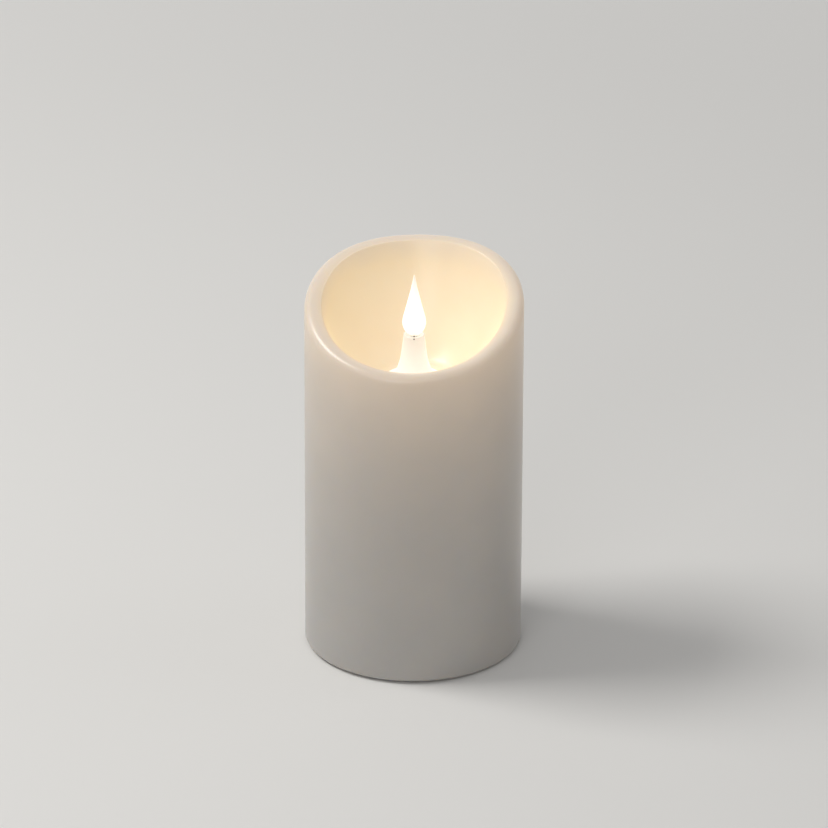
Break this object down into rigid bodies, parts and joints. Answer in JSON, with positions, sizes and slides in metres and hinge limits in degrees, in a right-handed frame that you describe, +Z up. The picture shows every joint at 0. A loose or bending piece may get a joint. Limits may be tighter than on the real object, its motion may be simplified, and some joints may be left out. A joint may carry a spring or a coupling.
{
  "type": "flameless led candle",
  "caption": "Wax pillar candle with a melted rim and deep bowl, a swinging lit flame on a collar, and a battery base with a hinged door.",
  "frame": {"origin": "on the table under the candle's axis", "axes": "+Z up, -Y the front where the rim dips lowest, +X to the right seen from the front"},
  "size_m": [0.1, 0.1, 0.1829],
  "materials": {
    "wax": "satin",
    "core_plastic": "matte",
    "base_plastic": "matte",
    "door_plastic": "matte",
    "foot_rubber": "matte",
    "screw_steel": "satin",
    "cell_jacket": "satin",
    "contact_metal": "bright",
    "switch_case": "satin",
    "switch_knob": "matte",
    "circuit_board": "satin",
    "chip_black": "matte",
    "capacitor_sleeve": "satin",
    "crystal_can": "bright",
    "carrier_plastic": "matte",
    "bobbin_plastic": "satin",
    "copper_wire": "bright",
    "iron_pin": "satin",
    "lamp_resin": "gloss",
    "collar_plastic": "gloss",
    "flame_plastic": "satin",
    "tail_plastic": "satin",
    "magnet_plating": "bright",
    "pivot_steel": "satin",
    "red_lead": "satin",
    "black_lead": "satin",
    "white_lead": "satin"
  },
  "bodies": {
    "candle": {"wax_shell": "wax", "core_cover": "core_plastic", "base_housing": "base_plastic", "core_screws": "screw_steel", "battery_cell_1": "cell_jacket", "battery_cell_2": "cell_jacket", "positive_contact": "contact_metal", "negative_contact": "contact_metal", "negative_spring": "contact_metal", "switch_body": "switch_case", "switch_board": "circuit_board", "switch_screws": "screw_steel", "main_board": "circuit_board", "board_screws": "screw_steel", "timer_chip": "chip_black", "capacitor": "capacitor_sleeve", "timing_crystal": "crystal_can", "resistors": "chip_black", "drive_transistors": "chip_black", "drive_carrier": "carrier_plastic", "carrier_screws": "screw_steel", "coil_bobbin": "bobbin_plastic", "coil_winding": "copper_wire", "coil_core": "iron_pin", "front_lamp": "lamp_resin", "front_lamp_legs": "contact_metal", "rear_lamp": "lamp_resin", "rear_lamp_legs": "contact_metal", "light_collar": "collar_plastic", "pivot_wire": "pivot_steel", "red_battery_lead": "red_lead", "black_battery_lead": "black_lead", "switch_leads": "white_lead", "coil_leads": "white_lead", "lamp_leads": "red_lead", "rubber_foot_1": "foot_rubber", "rubber_foot_2": "foot_rubber", "rubber_foot_3": "foot_rubber", "rubber_foot_4": "foot_rubber"},
    "flame": {"flame_shell": "flame_plastic", "flame_tail": "tail_plastic", "tail_magnet": "magnet_plating"},
    "switch": {"switch_slider": "switch_knob"},
    "door": {"battery_door": "door_plastic", "door_screw": "screw_steel", "bridge_contact": "contact_metal", "bridge_spring": "contact_metal"}
  },
  "joints": [
    {"name": "flame_swing", "type": "hinge", "parent": "candle", "child": "flame", "pos_m": [0, 0, 0.153], "axis": [0, 1, 0], "range_deg": [-8, 8]},
    {"name": "switch_slide", "type": "slide", "parent": "candle", "child": "switch", "axis": [1, 0, 0], "range_m": [-0.002, 0.002]},
    {"name": "door_hinge", "type": "hinge", "parent": "candle", "child": "door", "pos_m": [-0.0335, 0, 0.0031], "axis": [0, 1, 0], "range_deg": [0, 75]}
  ]
}
